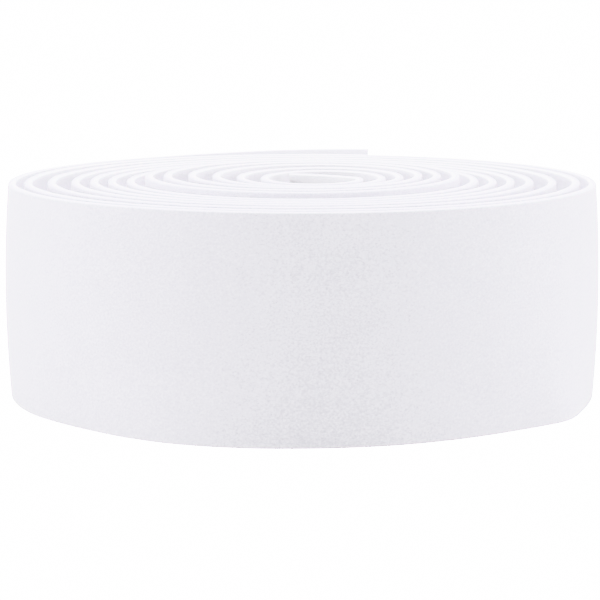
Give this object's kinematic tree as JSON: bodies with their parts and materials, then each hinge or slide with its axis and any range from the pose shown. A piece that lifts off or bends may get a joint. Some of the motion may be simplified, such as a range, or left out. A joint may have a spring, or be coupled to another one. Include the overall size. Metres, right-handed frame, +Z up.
{
  "type": "grip tape roll",
  "caption": "Cushioned racket grip tape wound face out into a loose, coreless spiral that stands on its edge, with a loose outer tail and an inner end that crosses the open middle.",
  "frame": {"origin": "on the surface that the roll stands on, under the middle of its box", "axes": "+Z up along the axis of the winding, -Y towards the front, so the loose tail is at the back, and +X to the right"},
  "size_m": [0.0696, 0.0712, 0.025],
  "materials": {
    "grip_face": "matt felt-like white synthetic leather",
    "foam": "matt white cushion foam",
    "adhesive": "clear to cream tacky strip",
    "liner": "smooth white silicone-coated release liner"
  },
  "bodies": {
    "roll": {"grip_face": "grip_face", "foam_backing": "foam", "adhesive_strip": "adhesive", "release_liner": "liner"},
    "tail_1": {"tail_1_face": "grip_face", "tail_1_foam": "foam", "tail_1_adhesive": "adhesive", "tail_1_liner": "liner"},
    "tail_2": {"tail_2_face": "grip_face", "tail_2_foam": "foam", "tail_2_adhesive": "adhesive", "tail_2_liner": "liner"},
    "tail_3": {"tail_3_face": "grip_face", "tail_3_foam": "foam", "tail_3_adhesive": "adhesive", "tail_3_liner": "liner"},
    "tail_4": {"tail_4_face": "grip_face", "tail_4_foam": "foam", "tail_4_adhesive": "adhesive", "tail_4_liner": "liner"},
    "tail_5": {"tail_5_face": "grip_face", "tail_5_foam": "foam", "tail_5_adhesive": "adhesive", "tail_5_liner": "liner"},
    "inner_end": {"inner_end_face": "grip_face", "inner_end_foam": "foam", "inner_end_adhesive": "adhesive", "inner_end_liner": "liner"}
  },
  "joints": [
    {"name": "tail_lift", "type": "hinge", "parent": "roll", "child": "tail_1", "pos_m": [-0.0348, -0.0008, 0.0125], "axis": [0, 0, 1], "range_deg": [0, 14], "stiffness_Nm_per_rad": 0.0003},
    {"name": "tail_lift_2", "type": "hinge", "parent": "tail_1", "child": "tail_2", "pos_m": [-0.03254, 0.01183, 0.0125], "axis": [0, 0, 1], "range_deg": [0, 14], "stiffness_Nm_per_rad": 0.0003},
    {"name": "tail_lift_3", "type": "hinge", "parent": "tail_2", "child": "tail_3", "pos_m": [-0.02604, 0.02289, 0.0125], "axis": [0, 0, 1], "range_deg": [0, 14], "stiffness_Nm_per_rad": 0.0003},
    {"name": "tail_lift_4", "type": "hinge", "parent": "tail_3", "child": "tail_4", "pos_m": [-0.0161, 0.03101, 0.0125], "axis": [0, 0, 1], "range_deg": [0, 14], "stiffness_Nm_per_rad": 0.0003},
    {"name": "tail_lift_5", "type": "hinge", "parent": "tail_4", "child": "tail_5", "pos_m": [-0.00397, 0.03517, 0.0125], "axis": [0, 0, 1], "range_deg": [0, 14], "stiffness_Nm_per_rad": 0.0003},
    {"name": "inner_end_swing", "type": "hinge", "parent": "roll", "child": "inner_end", "pos_m": [0.00648, -0.00191, 0.0125], "axis": [0, 0, -1], "range_deg": [-12, 4], "stiffness_Nm_per_rad": 0.0003}
  ],
  "couplings": [
    {"joint": "tail_lift_2", "follows": "tail_lift", "ratio": 1},
    {"joint": "tail_lift_3", "follows": "tail_lift", "ratio": 1},
    {"joint": "tail_lift_4", "follows": "tail_lift", "ratio": 1},
    {"joint": "tail_lift_5", "follows": "tail_lift", "ratio": 1}
  ]
}
